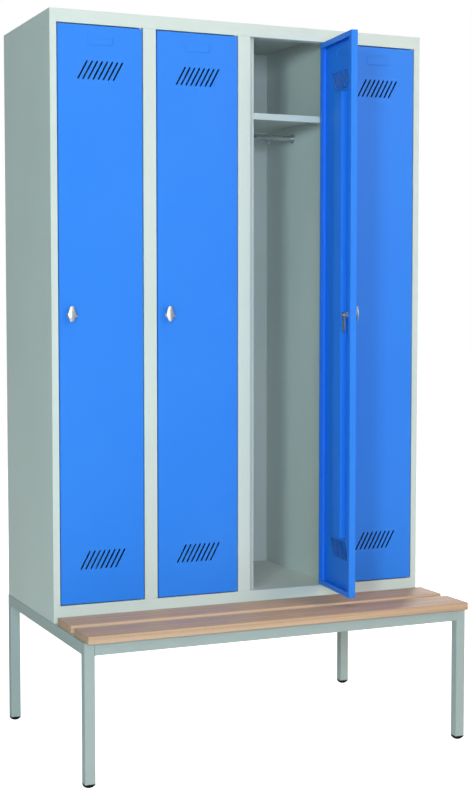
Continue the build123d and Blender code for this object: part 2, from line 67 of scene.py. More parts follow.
# Shares of a direction along an axis: nearly none, a little, most, nearly all and all of it.
ACROSS, SLIGHT, MOSTLY, ALONG, SQUARE = 0.1, 0.2, 0.5, 0.9, 0.99


class Slot(Enum):
    """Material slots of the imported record."""

    CARCASS = "carcass_paint"
    FRAME = "frame_paint"
    DOOR = "door_paint"
    BEECH = "beech"
    FOOT = "foot_plastic"
    CHROME = "latch_chrome"
    ZINC = "zinc_steel"


class Pick(Enum):
    """What is selected in edit mode."""

    VERTS = "VERT"
    EDGES = "EDGE"
    FACES = "FACE"


@dataclass(frozen=True)
class Spot:
    """Where one vertex, edge or face lies and how it faces.

    Args:
        middle: The middle of the element.
        normal: Its outward normal.
        run: Direction of an edge, or zero.
    """

    middle: Vector
    normal: Vector
    run: Vector


Test = Callable[[Spot], bool]


def everything(spot: Spot) -> bool:
    """Accepts every element."""
    return True


def clear_selection() -> None:
    """Leaves object mode with nothing selected."""
    if bpy.context.object and bpy.context.object.mode != "OBJECT":
        bpy.ops.object.mode_set(mode="OBJECT")
    bpy.ops.object.select_all(action="DESELECT")


@dataclass
class Workpiece:
    """A mesh on the workbench, shaped in edit mode with the usual tools."""

    obj: bpy.types.Object

    @classmethod
    def taken(cls, name: str) -> "Workpiece":
        """Takes the primitive just added, with its place and turn put into its mesh.

        Args:
            name: Name of the piece.

        Returns:
            The piece, with its object at the origin.
        """
        obj = bpy.context.active_object
        obj.name = name
        obj.data.name = name
        bpy.ops.object.transform_apply(location=True, rotation=True, scale=True)
        return cls(obj)

    @classmethod
    def block(cls, name: str, low: Triple, high: Triple) -> "Workpiece":
        """Starts from a box between two corners.

        Args:
            name: Name of the piece.
            low: Lowest corner.
            high: Highest corner.

        Returns:
            The piece.
        """
        clear_selection()
        low, high = Vector(low), Vector(high)
        bpy.ops.mesh.primitive_cube_add(size=1, location=(low + high) / 2)
        bpy.context.active_object.scale = high - low
        return cls.taken(name)

    @classmethod
    def bar(cls, name: str, radius: float, start: Triple, end: Triple, sides: int) -> "Workpiece":
        """Starts from a round or many-sided bar between two points.

        Args:
            name: Name of the piece.
            radius: Radius to the corners of its sides.
            start: Middle of one end.
            end: Middle of the other end.
            sides: How many sides it has.

        Returns:
            The piece.
        """
        clear_selection()
        start, end = Vector(start), Vector(end)
        run = end - start
        bpy.ops.mesh.primitive_cylinder_add(vertices=sides, radius=radius, depth=run.length,
                                            location=(start + end) / 2,
                                            rotation=run.to_track_quat("Z", "Y").to_euler())
        return cls.taken(name)

    def select(self, *others: "Workpiece") -> None:
        """Selects this piece, as the active one, and others with it.

        Args:
            others: The other pieces.
        """
        clear_selection()
        for piece in (*others, self):
            piece.obj.select_set(True)
        bpy.context.view_layer.objects.active = self.obj

    def edit(self, kind: Pick, test: Test, tool: Callable[..., object], **values: object) -> "Workpiece":
        """Runs a tool in edit mode on the elements that pass a test.

        Args:
            kind: What is selected.
            test: Says of each element whether it is selected.
            tool: The tool.
            values: The settings of the tool.

        Returns:
            The piece.
        """
        self.select()
        bpy.ops.object.mode_set(mode="EDIT")
        bpy.ops.mesh.select_mode(type=kind.value)
        bpy.ops.mesh.select_all(action="DESELECT")
        mesh = bmesh.from_edit_mesh(self.obj.data)
        elements = {Pick.VERTS: mesh.verts, Pick.EDGES: mesh.edges, Pick.FACES: mesh.faces}[kind]
        for element in elements:
            element.select_set(test(self.spot_of(kind, element)))
        mesh.select_flush_mode()
        bmesh.update_edit_mesh(self.obj.data)
        tool(**values)
        bpy.ops.object.mode_set(mode="OBJECT")
        return self

    @staticmethod
    def spot_of(kind: Pick, element: bmesh.types.BMVert | bmesh.types.BMEdge | bmesh.types.BMFace) -> Spot:
        """Measures one element.

        Args:
            kind: What the element is.
            element: The element.

        Returns:
            Its middle, normal and run.
        """
        if kind is Pick.VERTS:
            return Spot(element.co.copy(), element.normal.copy(), Vector())
        if kind is Pick.FACES:
            return Spot(element.calc_center_median(), element.normal.copy(), Vector())
        first, second = element.verts
        normal = sum((face.normal for face in element.link_faces), Vector())
        return Spot((first.co + second.co) / 2, normal.normalized(), (second.co - first.co).normalized())

    def bevel(self, width: float, test: Test, steps: int = 3) -> "Workpiece":
        """Rounds the edges that pass a test, to a width and in so many steps."""
        return self.edit(Pick.EDGES, test, bpy.ops.mesh.bevel, offset=width, segments=steps,
                         affect="EDGES", clamp_overlap=True)

    def extrude(self, offset: Triple, test: Test = everything) -> "Workpiece":
        """Pulls the faces that pass a test out by an offset."""
        return self.edit(Pick.FACES, test, bpy.ops.mesh.extrude_region_move,
                         TRANSFORM_OT_translate={"value": tuple(offset)})

    def inset(self, width: float, depth: float, test: Test) -> "Workpiece":
        """Sets a smaller face, raised by a depth, into each face that passes a test."""
        return self.edit(Pick.FACES, test, bpy.ops.mesh.inset, thickness=width, depth=depth)

    def stretch(self, factors: Triple, centre: Triple = (0, 0, 0), test: Test = everything) -> "Workpiece":
        """Scales the vertices that pass a test along each axis about a centre."""
        return self.edit(Pick.VERTS, test, bpy.ops.transform.resize, value=tuple(factors),
                         center_override=tuple(centre))

    def shift(self, offset: Triple, test: Test) -> "Workpiece":
        """Moves the vertices that pass a test by an offset."""
        return self.edit(Pick.VERTS, test, bpy.ops.transform.translate, value=tuple(offset))

    def trim(self, point: Triple, normal: Triple) -> "Workpiece":
        """Cuts off what lies beyond a plane, on the side its normal points to, and closes the cut."""
        return self.edit(Pick.FACES, everything, bpy.ops.mesh.bisect, plane_co=tuple(point),
                         plane_no=tuple(normal), use_fill=True, clear_outer=True)

    def cut_loops(self, places: Iterable[float], normal: Triple) -> "Workpiece":
        """Adds a ring of edges at each place along a direction.

        Args:
            places: Distances from the origin along the direction.
            normal: The direction.

        Returns:
            The piece.
        """
        for place in places:
            self.edit(Pick.FACES, everything, bpy.ops.mesh.bisect, plane_co=tuple(Vector(normal) * place),
                      plane_no=tuple(normal))
        return self

    def cut(self, tool: "Workpiece") -> "Workpiece":
        """Cuts another piece out of this one and clears that one away.

        Args:
            tool: The other piece.

        Returns:
            The piece.
        """
        self.select()
        cut = self.obj.modifiers.new("cut", "BOOLEAN")
        cut.operation = "DIFFERENCE"
        cut.solver = "EXACT"
        cut.object = tool.obj
        bpy.ops.object.modifier_apply(modifier=cut.name)
        tool.discard()
        return self

    def join(self, *others: "Workpiece") -> "Workpiece":
        """Makes other pieces part of this object.

        Args:
            others: The pieces that are taken in.

        Returns:
            The piece.
        """
        self.select(*others)
        bpy.ops.object.join()
        return self

    def smooth(self) -> "Workpiece":
        """Points all faces outwards and shades them smoothly up to a sharp angle.

        Returns:
            The piece.
        """
        self.edit(Pick.FACES, everything, bpy.ops.mesh.normals_make_consistent, inside=False)
        bpy.ops.object.shade_smooth_by_angle(angle=SHARP_ANGLE)
        return self

    def copied(self, name: str, place: Matrix) -> "Workpiece":
        """Copies the piece with its own mesh to a new place.

        Args:
            name: Name of the copy.
            place: Where the origin and axes of this piece come to lie.

        Returns:
            The copy, with its object at the origin.
        """
        self.select()
        bpy.ops.object.duplicate(linked=False)
        bpy.context.active_object.matrix_world = place
        return Workpiece.taken(name)

    def discard(self) -> None:
        """Clears a tool or pattern piece away after its use."""
        bpy.data.objects.remove(self.obj)

    def fit(self, body: str, finish: "Finish", nodes: Iterable[str] = ()) -> None:
        """Dresses the finished piece, hides what it stands for and hangs it on its body.

        Args:
            body: The body that carries it.
            finish: Its finish.
            nodes: The nodes of the frame that it stands for.
        """
        self.obj.data.materials.clear()
        self.obj.data.materials.append(finish.material())
        if nodes:
            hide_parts(*nodes)
        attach(self.obj, body)
        log.info("piece %s rides on %s", self.obj.name, body)


def outputs_of(node: bpy.types.Node) -> dict[str, Socket]:
    """Gives the outputs of a node by name."""
    return {socket.name: socket for socket in node.outputs}


@dataclass
class NodeBoard:
    """Places and wires nodes on one node tree."""

    tree: bpy.types.NodeTree

    @classmethod
    def blank(cls, owner: bpy.types.Material | bpy.types.World) -> "NodeBoard":
        """Starts on the emptied tree of a material or world.

        Args:
            owner: The material or world.

        Returns:
            Its board.
        """
        owner.use_nodes = True
        owner.node_tree.nodes.clear()
        return cls(owner.node_tree)

    def feed(self, target: Socket, value: object) -> None:
        """Wires an input to a socket, or sets its constant.

        Args:
            target: The input.
            value: The socket or constant.
        """
        if isinstance(value, bpy.types.NodeSocket):
            self.tree.links.new(value, target)
        else:
            target.default_value = value

    def add(self, kind: str, inputs: dict[str | int, object] | None = None,
            **settings: object) -> bpy.types.Node:
        """Adds a node, sets it and wires its inputs.

        Args:
            kind: Type name of the node.
            inputs: Values or sockets by input name or number.
            settings: Properties of the node.

        Returns:
            The node.
        """
        node = self.tree.nodes.new(kind)
        for key, value in settings.items():
            setattr(node, key, value)
        for key, value in (inputs or {}).items():
            self.feed(node.inputs[key], value)
        return node

    def math(self, operation: str, *values: float | Socket, clamp: bool = False) -> Socket:
        """Adds a calculation, whose result is kept between zero and one if it is clamped."""
        return self.add("ShaderNodeMath", dict(enumerate(values)), operation=operation,
                        use_clamp=clamp).outputs[0]

    def noise(self, vector: Socket, scale: float | Socket, detail: float, roughness: float = 0.5) -> Socket:
        """Adds a noise pattern from zero to one, with so many features per metre and finer layers."""
        return self.add("ShaderNodeTexNoise", {"Vector": vector, "Scale": scale, "Detail": detail,
                                               "Roughness": roughness}).outputs["Fac"]

    def spread(self, value: Socket, low: float, high: float, start: float = 0.0, end: float = 1.0) -> Socket:
        """Maps a value from the range of low to high to the range of start to end."""
        return self.add("ShaderNodeMapRange", {"Value": value, "From Min": low, "From Max": high,
                                               "To Min": start, "To Max": end}, clamp=True).outputs["Result"]

    def blend(self, share: float | Socket, first: object, second: object) -> Socket:
        """Mixes two colours.

        Args:
            share: Share of the second colour.
            first: A colour or a socket.
            second: A colour or a socket.

        Returns:
            The mixed colour.
        """
        node = self.add("ShaderNodeMix", data_type="RGBA")
        for key, value in (("Factor_Float", share), ("A_Color", first), ("B_Color", second)):
            self.feed(next(s for s in node.inputs if s.identifier == key), value)
        return next(s for s in node.outputs if s.identifier == "Result_Color")

    def coordinates(self, **mapping: Triple) -> Socket:
        """Gives the object coordinates, moved, turned and scaled as a mapping says."""
        place = self.add("ShaderNodeTexCoord").outputs["Object"]
        return self.add("ShaderNodeMapping", {"Vector": place, **mapping}).outputs["Vector"]

    def normal(self) -> Socket:
        """Gives the normal of the surface."""
        return self.add("ShaderNodeNewGeometry").outputs["Normal"]

    def part(self, vector: Socket, axis: str) -> Socket:
        """Gives the part of a vector along an axis."""
        return self.add("ShaderNodeSeparateXYZ", {0: vector}).outputs[axis]


def rgba(colour: Triple) -> tuple[float, float, float, float]:
    """Adds full cover to a colour."""
    return (*colour, 1.0)


class Effect:
    """A surface effect kept as a node group, built once and placed in each material that uses it."""

    name = "effect"
    inputs: tuple[str, ...] = ()

    def group(self) -> bpy.types.NodeTree:
        """Gives the group, which is built at its first use.

        Returns:
            The node group.
        """
        tree = bpy.data.node_groups.get(self.name)
        if tree is None:
            tree = bpy.data.node_groups.new(self.name, "ShaderNodeTree")
            board = NodeBoard(tree)
            for title in self.inputs:
                tree.interface.new_socket(name=title, in_out="INPUT", socket_type="NodeSocketFloat")
            results = self.build(board, outputs_of(board.add("NodeGroupInput")))
            for title in results:
                tree.interface.new_socket(name=title, in_out="OUTPUT", socket_type="NodeSocketFloat")
            board.add("NodeGroupOutput", results)
        return tree

    def build(self, board: NodeBoard, given: dict[str, Socket]) -> dict[str, Socket]:
        """Wires the effect from the group's inputs to its outputs; each kind of effect has its own."""
        raise NotImplementedError

    def place(self, board: NodeBoard, values: dict[str, float]) -> dict[str, Socket]:
        """Places the effect in a material with numbers for its inputs, and gives its outputs."""
        return outputs_of(board.add("ShaderNodeGroup", values, node_tree=self.group()))


class OrangePeel(Effect):
    """Fine waves of a baked powder coat, with slow changes of tone."""

    name = "orange_peel"
    inputs = ("Grain", "Patch")
    broad_scale = 0.22
    fine_share = 0.6

    def build(self, board: NodeBoard, given: dict[str, Socket]) -> dict[str, Socket]:
        """Wires two sizes of waves and the patches of tone."""
        place = board.coordinates()
        fine = board.noise(place, given["Grain"], detail=2.0, roughness=0.6)
        broad = board.noise(place, board.math("MULTIPLY", given["Grain"], self.broad_scale), detail=1.0)
        height = board.math("ADD", board.math("MULTIPLY", fine, self.fine_share),
                            board.math("MULTIPLY", broad, 1.0 - self.fine_share))
        tone = board.spread(board.noise(place, given["Patch"], detail=3.0), low=0.3, high=0.7)
        return {"Height": height, "Tone": tone}


class WornEdges(Effect):
    """Mask of the corners where a finish is thinner, broken up along the edge."""

    name = "worn_edges"
    inputs = ("Radius", "Break")

    def build(self, board: NodeBoard, given: dict[str, Socket]) -> dict[str, Socket]:
        """Compares the normal with a rounded one."""
        rounded = board.add("ShaderNodeBevel", {"Radius": given["Radius"]}, samples=3).outputs["Normal"]
        agree = board.add("ShaderNodeVectorMath", {0: rounded, 1: board.normal()},
                          operation="DOT_PRODUCT").outputs["Value"]
        turned = board.spread(board.math("SUBTRACT", 1.0, agree), low=0.02, high=0.25)
        cloud = board.noise(board.coordinates(), given["Break"], detail=3.0)
        return {"Mask": board.math("MULTIPLY", turned, board.spread(cloud, low=0.4, high=0.62))}


class SettledDust(Effect):
    """Thin dust that lies on what faces up."""

    name = "settled_dust"
    inputs = ("Amount",)

    def build(self, board: NodeBoard, given: dict[str, Socket]) -> dict[str, Socket]:
        """Takes the upward part of the normal and breaks it up."""
        lying = board.spread(board.part(board.normal(), "Z"), low=0.6, high=0.98)
        cloud = board.noise(board.coordinates(), scale=9.0, detail=5.0, roughness=0.65)
        broken = board.math("MULTIPLY", lying, board.spread(cloud, low=0.3, high=0.75))
        return {"Mask": board.math("MULTIPLY", broken, given["Amount"])}


class BrushedLines(Effect):
    """Long fine scratches along one axis of a metal."""

    name = "brushed_lines"
    inputs = ("Lines",)
    pull = (0.04, 1.0, 1.0)

    def build(self, board: NodeBoard, given: dict[str, Socket]) -> dict[str, Socket]:
        """Wires noise that is pulled out along X, and blotches for the tone."""
        height = board.noise(board.coordinates(Scale=self.pull), given["Lines"], detail=3.0, roughness=0.7)
        blotches = board.noise(board.coordinates(), scale=60.0, detail=4.0)
        return {"Height": height, "Tone": board.spread(blotches, low=0.3, high=0.7)}


class BeechGrain(Effect):
    """Growth rings, streaks and short flecks of a plain sawn beech board that runs along X."""

    name = "beech_grain"
    inputs = ("Ring Scale", "Fleck Scale")
    drift_stretch = (0.5, 4.0, 4.0)
    drift_reach = {"Y": 0.035, "Z": 0.02}
    heart_place = (0.0, 0.13, -0.29)
    heart_turn = (0.0, radians(0.9), radians(0.6))
    heart_stretch = (0.06, 1.0, 1.0)
    streak_stretch = (1.2, 95.0, 95.0)
    fleck_stretch = (0.16, 1.0, 1.0)

    def build(self, board: NodeBoard, given: dict[str, Socket]) -> dict[str, Socket]:
        """Wires rings round a far away heart, and flecks that are long along the grain."""
        drift = board.noise(board.coordinates(Scale=self.drift_stretch), scale=1.0, detail=2.0)
        heart = board.coordinates(Location=self.heart_place, Rotation=self.heart_turn,
                                  Scale=self.heart_stretch)
        sway = board.add("ShaderNodeCombineXYZ", {axis: board.math("MULTIPLY", drift, reach)
                                                  for axis, reach in self.drift_reach.items()}).outputs[0]
        bent = board.add("ShaderNodeVectorMath", {0: heart, 1: sway}).outputs["Vector"]
        far = board.math("SQRT", board.math("ADD", *(
            board.math("POWER", board.part(bent, axis), 2.0) for axis in self.drift_reach)))
        rings = board.math("SINE", board.math("MULTIPLY", far, given["Ring Scale"]))
        streaks = board.noise(board.coordinates(Scale=self.streak_stretch), scale=1.0, detail=5.0,
                              roughness=0.62)
        flecks = board.add("ShaderNodeTexVoronoi", {
            "Vector": board.coordinates(Scale=self.fleck_stretch), "Scale": given["Fleck Scale"],
            "Randomness": 1.0}).outputs["Distance"]
        along = board.math("ABSOLUTE", board.part(board.normal(), "X"))
        return {"Rings": board.spread(rings, low=-0.4, high=1.0), "Streaks": streaks,
                "Flecks": board.math("SUBTRACT", 1.0, board.spread(flecks, low=0.06, high=0.26)),
                "End": board.spread(along, low=0.5, high=0.9)}


@dataclass(frozen=True, kw_only=True)
class Finish:
    """What all finishes share.

    Args:
        title: Name of the material.
        slot: The record's material slot that it belongs to.
        colour: Base colour, linear.
        roughness: Middle of the roughness.
        swing: How far the roughness goes below and above its middle.
        relief: How deep the relief is, and how strongly it shows.
    """

    title: str
    slot: Slot
    colour: Triple
    roughness: float
    swing: Pair
    relief: Pair

    def material(self) -> bpy.types.Material:
        """Gives the material, which is built at its first use.

        Returns:
            The material.
        """
        found = bpy.data.materials.get(self.title)
        if found is None:
            found = bpy.data.materials.new(self.title)
            board = NodeBoard.blank(found)
            shader = board.add("ShaderNodeBsdfPrincipled", {"Base Color": rgba(self.colour),
                                                            "Roughness": self.roughness})
            for title, value in self.wire(board).items():
                board.feed(shader.inputs[title], value)
            board.add("ShaderNodeOutputMaterial", {"Surface": shader.outputs[0]})
        return found

    def wire(self, board: NodeBoard) -> dict[str, object]:
        """Wires what feeds the shader's inputs; each kind of finish has its own."""
        raise NotImplementedError

    def uneven(self, board: NodeBoard, pattern: Socket, low: float = 0.3, high: float = 0.7) -> Socket:
        """Lets the roughness swing with a pattern that goes from low to high."""
        return board.spread(pattern, low, high, self.roughness - self.swing[0], self.roughness + self.swing[1])

    def bump(self, board: NodeBoard, height: Socket) -> Socket:
        """Gives the normal that the relief turns."""
        return board.add("ShaderNodeBump", {"Height": height, "Distance": self.relief[0],
                                            "Strength": self.relief[1]}).outputs["Normal"]

    def dress(self, *nodes: str) -> None:
        """Gives this finish to nodes of the frame.

        Args:
            nodes: Names of the nodes.
        """
        for node in nodes:
            obj = frame["nodes"][node]
            if not obj.material_slots:
                obj.data.materials.append(None)
            for slot in obj.material_slots:
                slot.material = self.material()
            log.info("node %s dressed as %s", node, self.title)


@dataclass(frozen=True, kw_only=True)
class PowderCoat(Finish):
    """Baked powder paint on steel.

    Args:
        shade: Colour of its darker patches.
        worn: Colour of its thin edges.
        edge: How strongly the thin edges show.
        dust: How much dust lies on what faces up.
        dust_colour: Colour of the dust.
        dust_rough: How much rougher the dust makes it.
        peel: Waves and patches per metre of its surface.
        wear: Width of the thin edges, and their breaks per metre.
    """

    shade: Triple
    worn: Triple
    edge: float = 0.5
    dust: float = 0.04
    dust_colour: Triple = (0.62, 0.60, 0.56)
    dust_rough: float = 0.25
    peel: Pair = (900.0, 2.4)
    wear: Pair = (0.0012, 90.0)
    swing: Pair = (0.05, 0.07)
    relief: Pair = (0.00025, 0.32)

    def wire(self, board: NodeBoard) -> dict[str, object]:
        """Wires tone, edges, dust and relief."""
        peel = OrangePeel().place(board, {"Grain": self.peel[0], "Patch": self.peel[1]})
        wear = WornEdges().place(board, {"Radius": self.wear[0], "Break": self.wear[1]})
        dust = SettledDust().place(board, {"Amount": self.dust})
        tone = board.blend(peel["Tone"], rgba(self.colour), rgba(self.shade))
        edged = board.blend(board.math("MULTIPLY", wear["Mask"], self.edge), tone, rgba(self.worn))
        rougher = board.math("MULTIPLY", dust["Mask"], self.dust_rough)
        return {"Base Color": board.blend(dust["Mask"], edged, rgba(self.dust_colour)),
                "Roughness": board.math("ADD", self.uneven(board, peel["Height"]), rougher, clamp=True),
                "Normal": self.bump(board, peel["Height"])}


@dataclass(frozen=True, kw_only=True)
class Beech(Finish):
    """Lacquered beech.

    Args:
        late: Colour of the darker growth.
        fleck: Colour of the flecks.
        end: Colour of the end grain.
        scales: Growth rings, as their wave has it, and flecks per metre.
        shares: How strongly rings, streaks, flecks and end grain show.
        gloss: Level of the mirror reflection under the thin lacquer.
    """

    late: Triple
    fleck: Triple
    end: Triple
    scales: Pair = (620.0, 520.0)
    shares: tuple[float, float, float, float] = (0.38, 0.6, 0.5, 0.55)
    gloss: float = 0.16
    swing: Pair = (0.06, 0.08)
    relief: Pair = (0.0002, 0.35)

    def wire(self, board: NodeBoard) -> dict[str, object]:
        """Wires rings, streaks, flecks and end grain under a thin lacquer."""
        grain = BeechGrain().place(board, {"Ring Scale": self.scales[0], "Fleck Scale": self.scales[1]})
        rings, streaks, flecks, end = self.shares
        late = board.math("ADD", board.math("MULTIPLY", grain["Rings"], rings),
                          board.spread(grain["Streaks"], low=0.36, high=0.68, end=streaks), clamp=True)
        base = board.blend(late, rgba(self.colour), rgba(self.late))
        flecked = board.blend(board.math("MULTIPLY", grain["Flecks"], flecks), base, rgba(self.fleck))
        whole = board.blend(board.math("MULTIPLY", grain["End"], end), flecked, rgba(self.end))
        return {"Base Color": whole, "Roughness": self.uneven(board, grain["Streaks"]),
                "Specular IOR Level": self.gloss,
                "Normal": self.bump(board, board.math("SUBTRACT", grain["Streaks"], grain["Flecks"]))}


@dataclass(frozen=True, kw_only=True)
class BareMetal(Finish):
    """Chromed or zinc plated metal.

    Args:
        lines: Scratches per metre.
        dull: Colour of its duller blotches.
    """

    lines: float
    dull: Triple

    def wire(self, board: NodeBoard) -> dict[str, object]:
        """Wires scratches and blotches."""
        brushed = BrushedLines().place(board, {"Lines": self.lines})
        return {"Metallic": 1.0,
                "Base Color": board.blend(brushed["Tone"], rgba(self.colour), rgba(self.dull)),
                "Roughness": self.uneven(board, brushed["Tone"], low=0.0, high=1.0),
                "Normal": self.bump(board, brushed["Height"])}


@dataclass(frozen=True, kw_only=True)
class MouldedPlastic(Finish):
    """Moulded plastic with a fine spark-eroded grain.

    Args:
        scuff: Colour where it has rubbed on the floor.
        scuff_height: How high above the floor it has rubbed.
        scuff_share: How strongly that shows.
        peel: Grains and patches per metre.
        gloss: Level of the mirror reflection.
    """

    scuff: Triple
    scuff_height: float = 0.004
    scuff_share: float = 0.6
    peel: Pair = (1400.0, 40.0)
    gloss: float = 0.2
    swing: Pair = (0.08, 0.1)
    relief: Pair = (0.0002, 0.5)

    def wire(self, board: NodeBoard) -> dict[str, object]:
        """Wires grain, and scuffs near the floor."""
        peel = OrangePeel().place(board, {"Grain": self.peel[0], "Patch": self.peel[1]})
        low = board.spread(board.part(board.coordinates(), "Z"), low=self.scuff_height, high=0.0)
        rubbed = board.math("MULTIPLY", board.math("MULTIPLY", low, peel["Tone"]), self.scuff_share)
        return {"Base Color": board.blend(rubbed, rgba(self.colour), rgba(self.scuff)),
                "Roughness": self.uneven(board, peel["Height"]), "Specular IOR Level": self.gloss,
                "Normal": self.bump(board, peel["Height"])}


CARCASS_GREY = PowderCoat(
    title="carcass_light_grey", slot=Slot.CARCASS, colour=(0.69, 0.74, 0.70), roughness=0.46,
    shade=(0.655, 0.705, 0.665), worn=(0.80, 0.83, 0.80), dust=0.08)
FRAME_GREY = PowderCoat(
    title="frame_silver_grey", slot=Slot.FRAME, colour=(0.44, 0.505, 0.485), roughness=0.42,
    shade=(0.41, 0.475, 0.455), worn=(0.59, 0.64, 0.615), edge=0.6, dust=0.10)
DOOR_BLUE = PowderCoat(
    title="door_sky_blue", slot=Slot.DOOR, colour=(0.018, 0.232, 0.88), roughness=0.50,
    shade=(0.012, 0.220, 0.87), worn=(0.08, 0.34, 0.98))
# Darker blue on the drawn edges of the vent slots: painted shade, so that the slots read as dark lines; the door
# paint is the same blue as the door.
DOOR_SLOT_PAINTED_SHADE = PowderCoat(
    title="door_slot_painted_shade_blue", slot=Slot.DOOR, colour=(0.006, 0.085, 0.36), roughness=0.60,
    shade=(0.005, 0.075, 0.33), worn=(0.02, 0.14, 0.50))
BEECH_WOOD = Beech(
    title="slat_beech", slot=Slot.BEECH, colour=(0.72, 0.48, 0.325), roughness=0.46,
    late=(0.53, 0.325, 0.21), fleck=(0.29, 0.15, 0.09), end=(0.47, 0.285, 0.175))
FOOT_BLACK = MouldedPlastic(
    title="foot_black_plastic", slot=Slot.FOOT, colour=(0.004, 0.0045, 0.005), roughness=0.55,
    scuff=(0.03, 0.03, 0.029))
CHROME = BareMetal(
    title="latch_polished_chrome", slot=Slot.CHROME, colour=(0.70, 0.70, 0.68), roughness=0.42,
    dull=(0.60, 0.60, 0.585), lines=2600.0, swing=(0.06, 0.06), relief=(0.00006, 0.12))
ZINC = BareMetal(
    title="fitting_bright_zinc", slot=Slot.ZINC, colour=(0.66, 0.67, 0.68), roughness=0.31,
    dull=(0.52, 0.53, 0.55), lines=1800.0, swing=(0.08, 0.08), relief=(0.00006, 0.4))


def joint_place(name: str) -> Matrix:
    """Gives the frame of a turning joint: its Y axis along the joint, its Z axis up.

    Args:
        name: Name of the joint.

    Returns:
        The frame as a matrix.
    """
    joint = next(item for item in frame["joints"] if item["name"] == name)
    along = Vector(joint["axis"]).normalized()
    up = Vector((0.0, 0.0, 1.0))
    turn = Matrix((along.cross(up), along, up)).transposed().to_4x4()
    return Matrix.Translation(joint["pos_m"]) @ turn


def corners(node: str) -> tuple[Vector, Vector]:
    """Gives the lowest and highest corner of a node's box."""
    low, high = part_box(node)
    return Vector(low), Vector(high)


def evenly(low: float, high: float, margin: float, count: int) -> list[float]:
    """Spreads places evenly between two ends, with a margin at both."""
    return [low + margin + (high - low - 2 * margin) * step / (count - 1) for step in range(count)]


@dataclass
class Carcass:
    """Painted sheet steel of the cabinet: walls, posts, top, floor, back and hat shelves."""

    partitions: tuple[int, ...] = (1, 2, 3)
    weld_radius: float = 0.0042
    weld_proud: float = 0.0005
    weld_root: float = 0.0003
    weld_rim: float = 0.0012
    weld_dish: float = 0.0007
    weld_rows: int = 16
    weld_columns: int = 13
    weld_end: float = 0.055
    flange_middle: float = 0.0075

    def build(self) -> None:
        """Dresses the sheets and marks the welds on the back."""
        self.spot_welds()
        CARCASS_GREY.dress("left_side_panel", "right_side_panel", "top_panel", "floor_panel", "back_panel",
                           *(f"partition_{number}" for number in self.partitions),
                           *(f"hat_shelf_{number}" for number in DOORS))
        ZINC.dress("hinge_pins")

    def spot_welds(self) -> None:
        """Marks each spot weld between the back sheet and the flanges behind or over it."""
        mark = Workpiece.bar("spot_weld_pattern", self.weld_radius, (0, -self.weld_root, 0),
                             (0, self.weld_proud, 0), sides=16)
        mark.inset(self.weld_rim, -self.weld_dish, lambda s: s.normal.y > ALONG).smooth()
        marks = [mark.copied("rear_spot_welds", Matrix.Translation(spot)) for spot in self.weld_spots()]
        marks[0].join(*marks[1:]).fit("cabinet", CARCASS_GREY)
        mark.discard()

    def weld_spots(self) -> list[Vector]:
        """Lists where the spot welds on the back are.

        Returns:
            Their middles.
        """
        low, high = corners("back_panel")
        left, right = corners("left_side_panel")[0], corners("right_side_panel")[1]
        width = (right.x - left.x) / len(DOORS)
        inner = [left.x + width * number + self.flange_middle for number in self.partitions]
        outer = [left.x + self.flange_middle, right.x - self.flange_middle]
        rims = [corners(node)[1].z - self.flange_middle for node in ("top_panel", "floor_panel")]
        spots = []
        for z in evenly(low.z, high.z, self.weld_end, self.weld_rows):
            spots += [Vector((x, high.y, z)) for x in inner] + [Vector((x, right.y, z)) for x in outer]
        columns = evenly(left.x, right.x, self.weld_end, self.weld_columns)
        return spots + [Vector((x, right.y, z)) for x in columns for z in rims]


@dataclass
class Doors:
    """Blue doors with their stiffeners and the drawn edges of their vent slots.

    The places are given from the latch axis in the plane of the door.
    """

    middle: float = 0.0935
    rows: Pair = (0.696, -0.710)
    slots: int = 8
    pitch: float = 0.0152
    slant: float = 28.6
    slot_half: float = 0.0025
    slot_reach: float = 0.0280
    edge_wall: float = 0.0007
    edge_base: float = 0.0006
    edge_top: float = 0.0024
    edge_round: float = 0.0004

    def build(self) -> None:
        """Dresses the doors and models the drawn edge inside each vent slot, in a darker blue that paints shade
        into the slots.
        """
        pattern = self.drawn_edge()
        for number in DOORS:
            DOOR_BLUE.dress(f"door_panel_{number}", f"door_stiffener_{number}")
            place = joint_place(f"latch_{number}_turn")
            edges = [pattern.copied(f"vent_edges_{number}", place @ spot) for spot in self.spots()]
            # The drawn slot edges take the darker blue of painted shade.
            edges[0].join(*edges[1:]).fit(f"door_{number}", DOOR_SLOT_PAINTED_SHADE)
        pattern.discard()

    def spots(self) -> list[Matrix]:
        """Lists where the slots of one door are.

        Returns:
            Their places from the latch axis.
        """
        lean = Matrix.Rotation(radians(self.slant), 4, "Y")
        first = self.middle - self.pitch * (self.slots - 1) / 2
        return [Matrix.Translation((first + self.pitch * step, 0.0, height)) @ lean
                for height in self.rows for step in range(self.slots)]

    def drawn_edge(self) -> Workpiece:
        """Shapes the low wall that the punch draws inwards round one slot.

        Returns:
            The wall, with its origin in the middle of the slot.
        """
        piece = self.slot_bar("vent_edge_pattern", self.slot_half + self.edge_wall, self.edge_base,
                              self.edge_top)
        piece.cut(self.slot_bar("vent_hole_tool", self.slot_half, -self.edge_top, 2 * self.edge_top))
        return piece.bevel(self.edge_round, lambda s: s.middle.y > self.edge_top - NEAR, steps=2).smooth()

    def slot_bar(self, name: str, half: float, start: float, end: float) -> Workpiece:
        """Shapes a bar with the outline of a slot.

        Args:
            name: Name of the piece.
            half: Half of its width.
            start: Where it starts along Y.
            end: Where it ends along Y.

        Returns:
            The bar.
        """
        piece = Workpiece.bar(name, half, (0, start, 0), (0, end, 0), sides=16)
        piece.shift((0, 0, self.slot_reach), lambda s: s.middle.z > NEAR)
        return piece.shift((0, 0, -self.slot_reach), lambda s: s.middle.z < -NEAR)


